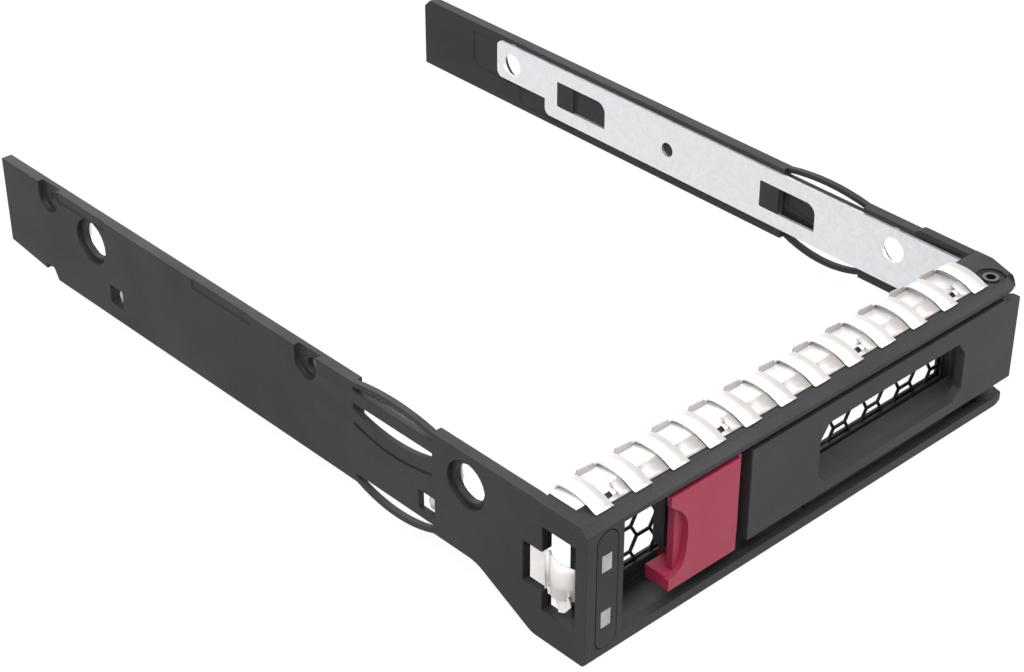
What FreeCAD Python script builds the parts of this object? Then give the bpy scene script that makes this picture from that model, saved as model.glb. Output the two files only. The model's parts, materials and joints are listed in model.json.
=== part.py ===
import FreeCAD, Part
import math
import os
import Sketcher

# Low hot-swap carrier for a 3.5 inch drive, in millimetres.
# The sub-parts are drawn from the carrier's lower front left corner: X to the right along the
# bezel, Y to the rear, Z up. Each one's Placement then brings the centre of the whole carrier's
# footprint to the origin.

doc = FreeCAD.newDocument("DriveCarrier")
sheet = doc.addObject("Spreadsheet::Sheet", "Sizes")

sizes = [
    ("railLength", 156.6, "front face to the rear end of the rails"),
    ("carrierWidth", 107.6, "over the two rails"),
    ("railTop", 26.7, "top edge of the rails"),
    ("railBottom", 6.6, "bottom edge of the rails"),
    ("rightRailTop", 26.0, "top edge of the right rail"),
    ("rightRailBottom", 11.0, "bottom edge of the right rail"),
    ("rearSlope", 1.6, "sloping rear corner of the right rail"),
    ("railWall", 2.2, "thickness of a moulded rail"),
    ("bowWall", 1.2, "thickness of a rail at its bow springs"),
    ("plateThickness", 0.6, "steel side plates"),
    ("bezelDepth", 10.8, "front face to the back of the bezel"),
    ("bezelTop", 26.6, "top of the bezel"),
    ("topPanel", 1.8, "thickness over the channel"),
    ("floorPanel", 1.8, "thickness under the channel"),
    ("lipDepth", 1.8, "depth of the two front lips"),
    ("mouthBottom", 2.4, "top of the lower lip"),
    ("mouthTop", 24.4, "underside of the upper lip"),
    ("topBevel", 1.4, "bevel on the upper front edge"),
    ("bottomBevel", 0.6, "bevel on the lower front edge"),
    ("cornerRadius", 4.5, "right front corner, seen from above"),
    ("backWall", 1.8, "rear wall of the bezel"),
    ("backWindowBottom", 4.6, "lower edge of the vent opening"),
    ("backWindowTop", 22.6, "upper edge of the vent opening"),
    ("ventMargin", 0.8, "wall left beside the vent opening"),
    ("meshThickness", 0.4, "vent mesh"),
    ("meshHold", 0.7, "how far the mesh sits in its groove"),
    ("meshPlay", 0.05, "play of the mesh in its groove"),
    ("cellPitch", 4.75, "honeycomb, across the flats and one wall"),
    ("cellWall", 0.5, "honeycomb wall"),
    ("cellRows", 4, "cells in a full column"),
    ("holeFront", 27.0, "front drive screw, from the front face"),
    ("holePitch", 101.6, "between the two screws of one side"),
    ("holeHeight", 20.6, "drive screws above the base"),
    ("headHoleRadius", 4.4, "opening for a screw head in a rail"),
    ("screwHoleRadius", 2.5, "screw hole in the right plate"),
    ("bowFront", 35.0, "front end of the bow springs"),
    ("bowRear", 54.3, "rear end of the bow springs"),
    ("bowRiseTop", 1.0, "how far the upper bow stands proud"),
    ("bowRiseBottom", 1.9, "how far the lower bow stands proud"),
    ("bowBeam", 1.0, "thickness of a bow at its ends"),
    ("innerBowTop", 22.6, "straight edge of the middle slot"),
    ("innerBowSag", 1.6, "sag of the inner bow"),
    ("innerBeam", 2.4, "thickness of the inner bow"),
    ("thinSlot", 0.7, "width of the narrow slots at their ends"),
    ("middleSlot", 1.3, "height of the middle slot at its ends"),
    ("flareFoot", 11.9, "where the left side reaches its full height"),
    ("flareTop", 26.6, "where the flare meets the rail's bottom edge"),
    ("tailHeight", 9.1, "bottom of the rail's rear end"),
    ("notchFromRear", 14.0, "front side of the small bottom notch"),
    ("notchLength", 2.4, "length of the bottom notch"),
    ("notchHeight", 2.2, "height of the bottom notch"),
    ("pocketWidth", 5.6, "U pockets in the outer faces"),
    ("pocketDepth", 1.1, "depth of the U pockets"),
    ("pocketBottom", 21.3, "lowest point of the U pockets"),
    ("pocketRear", 141.8, "centre of the rear U pocket"),
    ("pocketFront", 66.6, "centre of the front U pocket"),
    ("pocketHoleRadius", 1.5, "hole inside a U pocket"),
    ("panelRecess", 0.2, "depth of the shallow recesses"),
    ("panelBottom", 24.9, "lower edge of the shallow recesses"),
    ("tabHoleRear", 121.9, "rear tab hole, centre"),
    ("tabHoleFront", 36.5, "front tab hole, centre"),
    ("tabHoleHeight", 11.8, "tab holes above the base"),
    ("tabHoleSide", 3.8, "side of a tab hole"),
    ("plateFront", 12.4, "front end of the side plates"),
    ("plateRear", 133.1, "rear end of the side plates"),
    ("plateBottom", 13.3, "bottom edge of the side plates"),
    ("plateTop", 25.0, "top edge of the side plates"),
    ("plateNeck", 16.8, "bottom edge of the plates behind the step"),
    ("plateStepRight", 118.7, "step in the right plate"),
    ("plateStepLeft", 125.6, "step in the left plate"),
    ("plateRadius", 1.4, "corners of the side plates"),
    ("windowRearStart", 101.3, "front edge of the plate's rear window"),
    ("windowFrontStart", 45.7, "front edge of the plate's front window"),
    ("windowLength", 13.8, "length of the plate windows"),
    ("windowBottom", 16.3, "bottom of the plate windows"),
    ("windowTop", 21.9, "top of the plate windows"),
    ("windowRadius", 2.2, "large upper corner of the plate windows"),
    ("leftWindowTop", 23.2, "top of the left plate's long front window"),
    ("tongueLength", 4.6, "moulded tongue that locates a plate"),
    ("tonguePlay", 0.15, "play of the tongue in its window"),
    ("stakeHole", 83.9, "centre hole of the plate"),
    ("stakeRadius", 1.5, "radius of the centre hole"),
    ("sideWindowFront", 2.4, "front edge of the spring window"),
    ("sideWindowStep", 9.7, "step in the spring window"),
    ("sideWindowRear", 14.0, "rear edge of the spring window"),
    ("sideWindowBottom", 5.9, "bottom of the spring window"),
    ("sideWindowTop", 22.2, "top of the spring window"),
    ("lobeBottom", 9.5, "bottom of the window's rear lobe"),
    ("lobeTop", 17.3, "top of the window's rear lobe"),
    ("springSheet", 0.25, "thickness of the ground spring"),
    ("springProud", 0.5, "how far the ground spring stands proud"),
    ("springPlay", 0.25, "play of the spring in its window"),
    ("springPadRear", 12.4, "rear end of the ground spring's pad"),
    ("springCrestRear", 6.7, "rear side of its crest"),
    ("springCrestWidth", 0.5, "width of its crest"),
    ("springPadBottom", 11.0, "bottom of its pad"),
    ("springTop", 18.5, "top of its leaf"),
    ("springFoot", 7.8, "lowest point of its leaf"),
    ("coverLeft", 2.3, "left edge of the indicator cover"),
    ("coverWidth", 4.4, "width of the indicator cover"),
    ("coverBottom", 1.8, "bottom of the indicator cover"),
    ("coverTop", 24.5, "top of the indicator cover"),
    ("coverThickness", 0.9, "thickness of the indicator cover"),
    ("coverPlay", 0.15, "groove round the indicator cover"),
    ("indicatorWall", 2.0, "wall behind the indicator cover"),
    ("compartmentRight", 7.2, "right side of the compartment behind it"),
    ("channelLeft", 8.1, "left end of the channel"),
    ("lensWidth", 2.2, "indicator lens"),
    ("lensHeight", 3.3, "indicator lens"),
    ("lensUpper", 18.5, "centre of the upper lens"),
    ("lensLower", 7.6, "centre of the lower lens"),
    ("lensPlay", 0.05, "play of a lens"),
    ("pivotInset", 5.1, "lever pivot from the right end"),
    ("pivotDepth", 3.8, "lever pivot from the front face"),
    ("pinRadius", 1.5, "pivot pin"),
    ("pinBore", 0.9, "hollow of the pivot pin"),
    ("pinPlay", 0.05, "running clearance of the lever on its pin"),
    ("counterboreRadius", 2.6, "recess round the pin's head"),
    ("counterboreDepth", 0.6, "depth of that recess"),
    ("bossRadius", 3.0, "bosses above and below the lever"),
    ("leverLeft", 36.9, "left end of the lever"),
    ("leverBottom", 5.4, "bottom of the lever"),
    ("leverTop", 23.3, "top of the lever"),
    ("leverInset", 0.8, "right end of the lever inside the right face"),
    ("leverFace", 1.8, "thickness of the lever's front"),
    ("leverWall", 1.2, "thickness of the lever's flanges"),
    ("leverDepth", 6.6, "depth of the lever's flanges"),
    ("toeDepth", 2.6, "thickness of the toe"),
    ("toeDrop", 1.0, "the toe's top below the lever's top"),
    ("toeBevel", 1.2, "bevels on the toe's corners"),
    ("gripLeft", 54.0, "left side of the finger window"),
    ("gripRight", 92.0, "right side of the finger window"),
    ("gripBottom", 7.5, "bottom of the finger window"),
    ("gripTop", 18.8, "top of the finger window"),
    ("gripBevel", 2.0, "cut corners of the finger window"),
    ("catchPlay", 0.25, "between the lever's rib and the button's hook"),
    ("catchThickness", 1.6, "rib and hook, seen from above"),
    ("buttonLeft", 17.8, "left side of the release button"),
    ("buttonRight", 35.0, "right side of the release button"),
    ("buttonBottom", 5.1, "bottom of the release button"),
    ("buttonTop", 23.5, "top of the release button"),
    ("buttonDepth", 6.8, "depth of the button's block"),
    ("slideBack", 8.7, "rear face of the button's slide"),
    ("slideRight", 46.0, "right end of the button's slide"),
    ("slideTop", 12.2, "top of the button's slide"),
    ("scoopReach", 4.4, "how far the scoop cuts into the face"),
    ("scoopStep", 1.4, "width of the scoop's deeper part"),
    ("scoopDepth", 1.1, "depth of the scoop beside the face"),
    ("scoopFloor", 2.6, "depth of the scoop at the button's side"),
    ("scoopBottom", 8.4, "bottom of the scoop"),
    ("buttonEdge", 1.1, "bevel on the button's right edge"),
    ("guideWall", 1.2, "thickness of the wall that guides the button"),
    ("guideBottom", 10.5, "bottom of that wall"),
    ("returnRoom", 6.0, "room for the button's return spring"),
    ("returnRadius", 0.75, "mean radius of the return spring"),
    ("returnWire", 0.13, "radius of its wire"),
    ("returnTurns", 6, "turns of the return spring"),
    ("torsionWire", 0.25, "radius of the lever spring's wire"),
    ("torsionTurns", 4, "turns of the lever spring"),
    ("torsionRoom", 3.6, "height left in the lever for its spring"),
    ("stripLeft", 2.5, "left end of the finger strip"),
    ("stripRight", 99.5, "right end of the finger strip"),
    ("stripFront", 2.6, "front edge of the strip's base"),
    ("stripSheet", 0.2, "thickness of the strip"),
    ("stripDrop", 3.6, "height of the strip's rear flange"),
    ("tabNotch", 1.2, "notches between the tabs of the rear flange"),
    ("tangLength", 2.6, "triangular cuts of the strip's tangs"),
    ("fingerCount", 12, "contact fingers"),
    ("fingerPitch", 8.35, "spacing of the fingers"),
    ("fingerWidth", 5.0, "width of a finger"),
    ("fingerStart", 2.7, "left side of the first finger"),
    ("fingerTip", 0.9, "front tip of the fingers"),
    ("fingerRise", 0.9, "rise of the arched fingers"),
    ("ribHeight", 0.4, "grip ribs on the channel's floor"),
    ("ribWidth", 0.6, "width of those ribs"),
    ("ribSpacing", 1.7, "spacing of those ribs"),
]

for row, (alias, value, note) in enumerate(sizes, start=1):
    sheet.set("A%d" % row, note)
    sheet.set("B%d" % row, str(value))
    sheet.setAlias("B%d" % row, alias)
doc.recompute()

aliases = sorted((entry[0] for entry in sizes), key=len, reverse=True)


def bound(expression):
    """The expression with each size's name led by the sheet's name."""
    words = []
    word = ""
    for letter in expression + " ":
        if letter.isalnum():
            word += letter
            continue
        words.append("Sizes." + word if word in aliases else word)
        words.append(letter)
        word = ""
    return "".join(words).strip()


def measure(expression):
    return float(sheet.evalExpression(bound(expression)))


def newBody(label):
    body = doc.addObject("PartDesign::Body", label)
    body.Label = label
    return body


def newSketch(body, name, role, height="0"):
    """A sketch on the body's own plane, moved along the plane's normal."""
    plane = [part for part in body.Origin.OriginFeatures if part.Role == role][0]
    sketch = body.newObject("Sketcher::SketchObject", name)
    sketch.AttachmentSupport = [(plane, "")]
    sketch.MapMode = "FlatFace"
    sketch.setExpression("AttachmentOffset.Base.z", bound(height))
    return sketch


def pinPoint(sketch, geometry, place, u, v):
    first = sketch.addConstraint(
        Sketcher.Constraint("DistanceX", -1, 1, geometry, place, measure(u)))
    second = sketch.addConstraint(
        Sketcher.Constraint("DistanceY", -1, 1, geometry, place, measure(v)))
    sketch.setExpression("Constraints[%d]" % first, bound(u))
    sketch.setExpression("Constraints[%d]" % second, bound(v))


def outline(sketch, points):
    """A closed outline. A third entry bows the next side out to the left by that much."""
    corners = [FreeCAD.Vector(measure(point[0]), measure(point[1]), 0) for point in points]
    ends = []
    for index, point in enumerate(points):
        start = corners[index]
        end = corners[(index + 1) % len(points)]
        if len(point) == 2:
            side = sketch.addGeometry(Part.LineSegment(start, end))
            ends.append((side, 1, 2))
            continue
        chord = end - start
        sag = measure(point[2])
        left = FreeCAD.Vector(-chord.y, chord.x, 0).normalize()
        radius = abs(chord.Length ** 2 / (8 * sag) + sag / 2)
        reach = sag - math.copysign(radius, sag)
        middle = (start + end) * 0.5 + left * reach
        angles = [math.atan2(spot.y - middle.y, spot.x - middle.x) for spot in (start, end)]
        runsBack = sag > 0
        if runsBack:
            angles.reverse()
        if angles[1] < angles[0]:
            angles[1] += 2 * math.pi
        ring = Part.Circle(middle, FreeCAD.Vector(0, 0, 1), radius)
        side = sketch.addGeometry(Part.ArcOfCircle(ring, angles[0], angles[1]))
        ends.append((side, 2, 1) if runsBack else (side, 1, 2))
    for index, point in enumerate(points):
        side, start, end = ends[index]
        nextSide, nextStart, nextEnd = ends[(index + 1) % len(points)]
        sketch.addConstraint(Sketcher.Constraint("Coincident", side, end, nextSide, nextStart))
        pinPoint(sketch, side, start, point[0], point[1])
        if len(point) == 3:
            after = points[(index + 1) % len(points)]
            across = "((%s) - (%s)) ^ 2 + ((%s) - (%s)) ^ 2" % (
                after[0], point[0], after[1], point[1])
            rule = "abs((%s) / (8 * (%s)) + (%s) / 2)" % (across, point[2], point[2])
            number = sketch.addConstraint(
                Sketcher.Constraint("Radius", side, measure(rule)))
            sketch.setExpression("Constraints[%d]" % number, bound(rule))


def circle(sketch, u, v, radius):
    centre = FreeCAD.Vector(measure(u), measure(v), 0)
    ring = Part.Circle(centre, FreeCAD.Vector(0, 0, 1), measure(radius))
    side = sketch.addGeometry(ring)
    pinPoint(sketch, side, 3, u, v)
    number = sketch.addConstraint(Sketcher.Constraint("Radius", side, measure(radius)))
    sketch.setExpression("Constraints[%d]" % number, bound(radius))


def rectangle(sketch, left, bottom, right, top):
    outline(sketch, [(left, bottom), (right, bottom), (right, top), (left, top)])


def pad(body, sketch, length, backward=False):
    feature = body.newObject("PartDesign::Pad", sketch.Name + "Pad")
    feature.Profile = sketch
    feature.setExpression("Length", bound(length))
    feature.Reversed = backward
    doc.recompute()
    return feature


def pocket(body, sketch, length=None, forward=False):
    """Cuts against the sketch's normal, or along it. With no length it cuts right through."""
    before = body.Shape.Volume
    feature = body.newObject("PartDesign::Pocket", sketch.Name + "Pocket")
    feature.Profile = sketch
    if length is None:
        feature.Type = 1
        feature.Midplane = True
    else:
        feature.setExpression("Length", bound(length))
        feature.Reversed = forward
    doc.recompute()
    if body.Shape.Volume > before - 1e-4:
        raise RuntimeError(sketch.Name + " cuts nothing")
    return feature


def block(body, name, low, high, cut=False):
    kind = "PartDesign::SubtractiveBox" if cut else "PartDesign::AdditiveBox"
    feature = body.newObject(kind, name)
    for side, start, end in zip(("Length", "Width", "Height"), low, high):
        feature.setExpression(side, bound("(%s) - (%s)" % (end, start)))
    for axis, start in zip("xyz", low):
        feature.setExpression("Placement.Base." + axis, bound(start))
    doc.recompute()
    return feature


def rod(body, name, base, radius, height, cut=False):
    """An upright cylinder."""
    kind = "PartDesign::SubtractiveCylinder" if cut else "PartDesign::AdditiveCylinder"
    feature = body.newObject(kind, name)
    feature.setExpression("Radius", bound(radius))
    feature.setExpression("Height", bound(height))
    for axis, start in zip("xyz", base):
        feature.setExpression("Placement.Base." + axis, bound(start))
    doc.recompute()
    return feature


def uprightEdges(feature, x, y):
    """Names of the feature's edges that stand upright at x and y."""
    names = []
    for number, edge in enumerate(feature.Shape.Edges, start=1):
        spots = [vertex.Point for vertex in edge.Vertexes]
        if all(abs(spot.x - x) < 0.01 and abs(spot.y - y) < 0.01 for spot in spots):
            names.append("Edge%d" % number)
    return names


def edgesAlongX(feature, y, z):
    """Names of the feature's edges that run along X at y and z."""
    names = []
    for number, edge in enumerate(feature.Shape.Edges, start=1):
        spots = [vertex.Point for vertex in edge.Vertexes]
        if len(spots) == 2 and all(abs(spot.y - y) < 0.01 and abs(spot.z - z) < 0.01
                                   for spot in spots):
            names.append("Edge%d" % number)
    return names


def fillet(body, base, edges, radius):
    feature = body.newObject("PartDesign::Fillet", base.Name + "Fillet")
    feature.Base = (base, edges)
    feature.setExpression("Radius", bound(radius))
    doc.recompute()
    return feature


def chamfer(body, base, edges, side):
    feature = body.newObject("PartDesign::Chamfer", base.Name + "Chamfer")
    feature.Base = (base, edges)
    feature.setExpression("Size", bound(side))
    doc.recompute()
    return feature


def railSide(sketch, bottom, top, rearEnd):
    """Side view of a rail: the tall front, the flare, the bows and the given rear end."""
    outline(sketch, [
        ("bottomBevel", "0"),
        ("flareFoot - 1", "0", "0 - 0.1"),
        ("flareFoot + 0.8", "0.4"),
        ("flareTop - 3.2", bottom + " - 0.75", "0.19"),
        ("flareTop", bottom),
        ("bowFront", bottom, "0 - bowRiseBottom"),
        ("bowRear", bottom),
    ] + rearEnd + [
        ("bowRear", top, "0 - bowRiseTop"),
        ("bowFront", top),
        ("bezelDepth + 1", top),
        ("bezelDepth", "bezelTop"),
        ("topBevel", "bezelTop"),
        ("0", "bezelTop - topBevel"),
        ("0", "bottomBevel"),
    ])


def bowSlots(sketch, bottom, top):
    """The slots that free the bows of one rail."""
    upper = top + " - bowBeam"
    outline(sketch, [
        ("bowFront", upper + " - thinSlot"),
        ("bowRear", upper + " - thinSlot"),
        ("bowRear", upper, "0 - bowRiseTop"),
        ("bowFront", upper),
    ])
    low = "innerBowTop - middleSlot"
    outline(sketch, [
        ("bowFront", "innerBowTop"),
        ("bowFront", low, "0 - innerBowSag"),
        ("bowRear", low),
        ("bowRear", "innerBowTop"),
    ])
    under = low + " - innerBeam"
    outline(sketch, [
        ("bowFront", under, "0 - innerBowSag"),
        ("bowRear", under),
        ("bowRear", under + " - thinSlot", "innerBowSag - 0.2"),
        ("bowFront", under + " - thinSlot"),
    ])
    foot = bottom + " + bowBeam"
    outline(sketch, [
        ("bowFront", foot, "0 - bowRiseBottom"),
        ("bowRear", foot),
        ("bowRear", foot + " + thinSlot"),
        ("bowFront", foot + " + thinSlot"),
    ])


def makeFrame():
    """Rails and bezel in one moulding."""
    body = newBody("carrier_frame")
    bezel = block(body, "Bezel", ("0", "0", "0"), ("carrierWidth", "bezelDepth", "bezelTop"))
    corner = uprightEdges(bezel, measure("carrierWidth"), 0)
    rounded = fillet(body, bezel, corner, "cornerRadius")
    upper = chamfer(body, rounded, edgesAlongX(rounded, 0, measure("bezelTop")), "topBevel")
    chamfer(body, upper, edgesAlongX(upper, 0, 0), "bottomBevel")

    # The channel, its mouth between the lips, and the room where the toe swings.
    block(body, "Mouth", ("channelLeft", "-1", "mouthBottom"),
          ("carrierWidth + 1", "lipDepth", "mouthTop"), cut=True)
    block(body, "Channel", ("channelLeft", "lipDepth", "floorPanel"),
          ("carrierWidth + 1", "bezelDepth - backWall", "bezelTop - topPanel"), cut=True)
    left = "channelLeft + ventMargin"
    right = "carrierWidth - pivotInset - bossRadius - ventMargin"
    block(body, "BackWindow", (left, "bezelDepth - backWall - 1", "backWindowBottom"),
          (right, "bezelDepth + 1", "backWindowTop"), cut=True)
    groove = "bezelDepth - backWall / 2 - meshThickness / 2 - meshPlay"
    block(body, "MeshGroove",
          (left + " - meshHold", groove, "backWindowBottom - meshHold"),
          (right + " + meshHold", groove + " + meshThickness + 2 * meshPlay",
           "backWindowTop + meshHold"), cut=True)
    block(body, "ToeRoom",
          ("carrierWidth - pivotInset", "lipDepth", "mouthBottom"),
          ("carrierWidth + 1", "bezelDepth - 0.8", "mouthTop"), cut=True)

    # The compartment behind the indicators, and the seats of the cover and its lenses.
    block(body, "Compartment", ("railWall", "indicatorWall", "floorPanel"),
          ("compartmentRight", "bezelDepth + 1", "bezelTop - topPanel"), cut=True)
    seatBow = "0 - coverWidth / 2 - coverPlay + 0.01"
    coverSeat = newSketch(body, "CoverSeat", "XZ_Plane")
    seatRight = "coverLeft + coverWidth + coverPlay"
    outline(coverSeat, [
        ("coverLeft - coverPlay", "coverBottom + coverWidth / 2", seatBow),
        (seatRight, "coverBottom + coverWidth / 2"),
        (seatRight, "coverTop - coverWidth / 2", seatBow),
        ("coverLeft - coverPlay", "coverTop - coverWidth / 2"),
    ])
    pocket(body, coverSeat, "coverThickness")
    lensLeft = "coverLeft + coverWidth / 2 - lensWidth / 2 - lensPlay"
    for name, centre in (("UpperLensSeat", "lensUpper"), ("LowerLensSeat", "lensLower")):
        block(body, name,
              (lensLeft, "0", centre + " - lensHeight / 2 - lensPlay"),
              (lensLeft + " + lensWidth + 2 * lensPlay", "indicatorWall + 1",
               centre + " + lensHeight / 2 + lensPlay"), cut=True)

    # The rails.
    notchFront = "railLength - notchFromRear"
    notchRear = notchFront + " + notchLength"
    leftRail = newSketch(body, "LeftRail", "YZ_Plane")
    railSide(leftRail, "railBottom", "railTop", [
        (notchFront + " - 1.2", "railBottom"),
        (notchFront, "railBottom + notchHeight"),
        (notchRear, "railBottom + notchHeight"),
        (notchRear, "railBottom + notchHeight / 2"),
        ("railLength", "tailHeight"),
        ("railLength", "railTop"),
    ])
    pad(body, leftRail, "railWall")
    rightRail = newSketch(body, "RightRail", "YZ_Plane", "carrierWidth - railWall")
    railSide(rightRail, "rightRailBottom", "rightRailTop", [
        ("railLength", "rightRailBottom"),
        ("railLength", "rightRailTop - rearSlope"),
        ("railLength - rearSlope", "rightRailTop"),
    ])
    pad(body, rightRail, "railWall")
    block(body, "ToeOpening",
          ("carrierWidth - railWall - 1", "-1", "mouthBottom"),
          ("carrierWidth + 1", "bezelDepth - 0.8", "mouthTop"), cut=True)
    leftSlots = newSketch(body, "LeftBowSlots", "YZ_Plane")
    bowSlots(leftSlots, "railBottom", "railTop")
    pocket(body, leftSlots, "railWall + 0.01", True)
    rightSlots = newSketch(body, "RightBowSlots", "YZ_Plane", "carrierWidth")
    bowSlots(rightSlots, "rightRailBottom", "rightRailTop")
    pocket(body, rightSlots, "railWall + 0.01")
    for name, low, high in (("Left", "bowWall", "railWall + 0.01"),
                            ("Right", "carrierWidth - railWall - 0.01",
                             "carrierWidth - bowWall")):
        block(body, name + "BowRelief", (low, "bowFront", "0"),
              (high, "bowRear", "railTop + bowRiseTop + 1"), cut=True)
    heads = newSketch(body, "HeadHoles", "YZ_Plane")
    circle(heads, "holeFront", "holeHeight", "headHoleRadius")
    circle(heads, "holeFront + holePitch", "holeHeight", "headHoleRadius")
    pocket(body, heads)

    # Holes, U pockets and shallow recesses in the left rail's outer face.
    small = newSketch(body, "TabHoles", "YZ_Plane")
    for centre in ("tabHoleRear", "tabHoleFront"):
        rectangle(small, centre + " - tabHoleSide / 2", "tabHoleHeight - tabHoleSide / 2",
                  centre + " + tabHoleSide / 2", "tabHoleHeight + tabHoleSide / 2")
    for centre in ("pocketRear", "pocketFront"):
        circle(small, centre + " - 0.9", "pocketBottom + pocketHoleRadius + 0.9",
               "pocketHoleRadius")
    pocket(body, small, "railWall + 0.01", True)
    pockets = newSketch(body, "OuterPockets", "YZ_Plane")
    for centre in ("pocketRear", "pocketFront"):
        bend = "pocketBottom + pocketWidth / 2"
        outline(pockets, [
            (centre + " - pocketWidth / 2", "railTop + 2"),
            (centre + " - pocketWidth / 2", bend, "0 - pocketWidth / 2 + 0.01"),
            (centre + " + pocketWidth / 2", bend),
            (centre + " + pocketWidth / 2", "railTop + 2"),
        ])
    pocket(body, pockets, "pocketDepth", True)
    recess = newSketch(body, "OuterRecesses", "YZ_Plane")
    rectangle(recess, "stakeHole - 2.8", "panelBottom", "stakeHole + 13.6", "railTop + 2")
    rectangle(recess, "pocketRear - 17.8", "panelBottom", "pocketRear - 3.2", "railTop + 2")
    pocket(body, recess, "panelRecess", True)

    # Shallow seat in the right rail's inner face, round the rear end of its plate.
    seat = newSketch(body, "PlateSeat", "YZ_Plane", "carrierWidth - railWall")
    outline(seat, [
        ("plateStepRight - 8", "plateBottom - 1.2"),
        ("plateStepRight + 7", "plateBottom - 1.2", "0 - 0.3"),
        ("plateStepRight + 8.2", "plateBottom"),
        ("plateStepRight + 8.2", "plateNeck - 0.8"),
        ("plateRear + 6.4", "plateNeck - 0.8", "0 - 0.4"),
        ("plateRear + 8", "plateNeck + 0.8"),
        ("plateRear + 8", "plateTop - 1"),
        ("plateStepRight - 8", "plateTop - 1"),
    ])
    pocket(body, seat, "panelRecess", True)

    # The stepped window that bares the ground spring.
    window = newSketch(body, "SpringWindow", "YZ_Plane")
    outline(window, [
        ("sideWindowFront", "sideWindowBottom"),
        ("sideWindowStep", "sideWindowBottom"),
        ("sideWindowStep", "lobeBottom"),
        ("sideWindowRear", "lobeBottom"),
        ("sideWindowRear", "lobeTop"),
        ("sideWindowStep", "lobeTop"),
        ("sideWindowStep", "sideWindowTop"),
        ("sideWindowFront", "sideWindowTop"),
    ])
    pocket(body, window, "railWall + 0.01", True)

    # Moulded tongues that locate the side plates in their windows.
    for side, inner in (("Left", "railWall"),
                        ("Right", "carrierWidth - railWall - plateThickness")):
        for name, start in (("Rear", "windowRearStart"), ("Front", "windowFrontStart")):
            rear = start + " + windowLength - tonguePlay"
            block(body, side + name + "Tongue",
                  (inner, rear + " - tongueLength", "windowBottom + tonguePlay"),
                  (inner + " + plateThickness", rear, "windowTop - tonguePlay"))

    # Pivot bosses with the pin's seat.
    pivot = ("carrierWidth - pivotInset", "pivotDepth")
    rod(body, "LowerBoss", pivot + ("floorPanel",), "bossRadius",
        "leverBottom - floorPanel - catchPlay")
    rod(body, "UpperBoss", pivot + ("leverTop + catchPlay",), "bossRadius",
        "bezelTop - topPanel - leverTop - catchPlay")
    rod(body, "PinSeat", pivot + ("floorPanel / 2",), "pinRadius", "bezelTop", cut=True)
    rod(body, "Counterbore", pivot + ("bezelTop - counterboreDepth",), "counterboreRadius",
        "bezelTop", cut=True)

    # Wall that guides the button's left side.
    block(body, "GuideWall",
          ("buttonLeft - 0.3 - guideWall", "lipDepth - 0.4", "guideBottom"),
          ("buttonLeft - 0.3", "lipDepth + 2", "bezelTop - topPanel + 0.1"))

    # Grip ribs on the floor behind the finger window, and the return spring's post.
    for number in range(3):
        place = "lipDepth + ribSpacing * %d + 0.6" % number
        block(body, "GripRib%d" % number, ("gripLeft", place, "floorPanel"),
              ("gripRight", place + " + ribWidth", "floorPanel + ribHeight"))
    block(body, "SpringPost",
          ("slideRight + returnRoom", "leverDepth + 0.3", "floorPanel"),
          ("slideRight + returnRoom + 1.2", "bezelDepth - backWall", "slideTop"))
    return body


def makePlate(label, side, step, neck, holeRadius, longWindow):
    """Steel plate on the inner face of one rail."""
    body = newBody(label)
    blank = newSketch(body, side + "Plate", "YZ_Plane",
                      "railWall" if side == "Left" else "carrierWidth - railWall - plateThickness")
    cut = "plateRadius"
    outline(blank, [
        ("plateFront", "plateBottom"),
        (step + " - " + cut, "plateBottom", "0 - 0.4"),
        (step, "plateBottom + " + cut),
        (step, neck),
        ("plateRear - " + cut, neck, "0 - 0.4"),
        ("plateRear", neck + " + " + cut),
        ("plateRear", "plateTop - " + cut, "0 - 0.4"),
        ("plateRear - " + cut, "plateTop"),
        ("plateFront", "plateTop"),
    ])
    pad(body, blank, "plateThickness")
    windows = newSketch(body, side + "Windows", "YZ_Plane")
    openings = [("windowRearStart", "windowRearStart", "windowTop")]
    if longWindow:
        openings.append(("bowFront + 0.5", "windowFrontStart", "leftWindowTop"))
    else:
        openings.append(("windowFrontStart", "windowFrontStart", "windowTop"))
    for front, start, top in openings:
        rear = start + " + windowLength"
        outline(windows, [
            (front, "windowBottom"),
            (rear, "windowBottom"),
            (rear, top),
            (front + " + windowRadius", top, "0 - 0.64"),
            (front, top + " - windowRadius"),
        ])
    circle(windows, "holeFront", "holeHeight", holeRadius)
    circle(windows, "holeFront + holePitch", "holeHeight", holeRadius)
    circle(windows, "stakeHole", "holeHeight - 2", "stakeRadius")
    pocket(body, windows)
    return body


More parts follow.
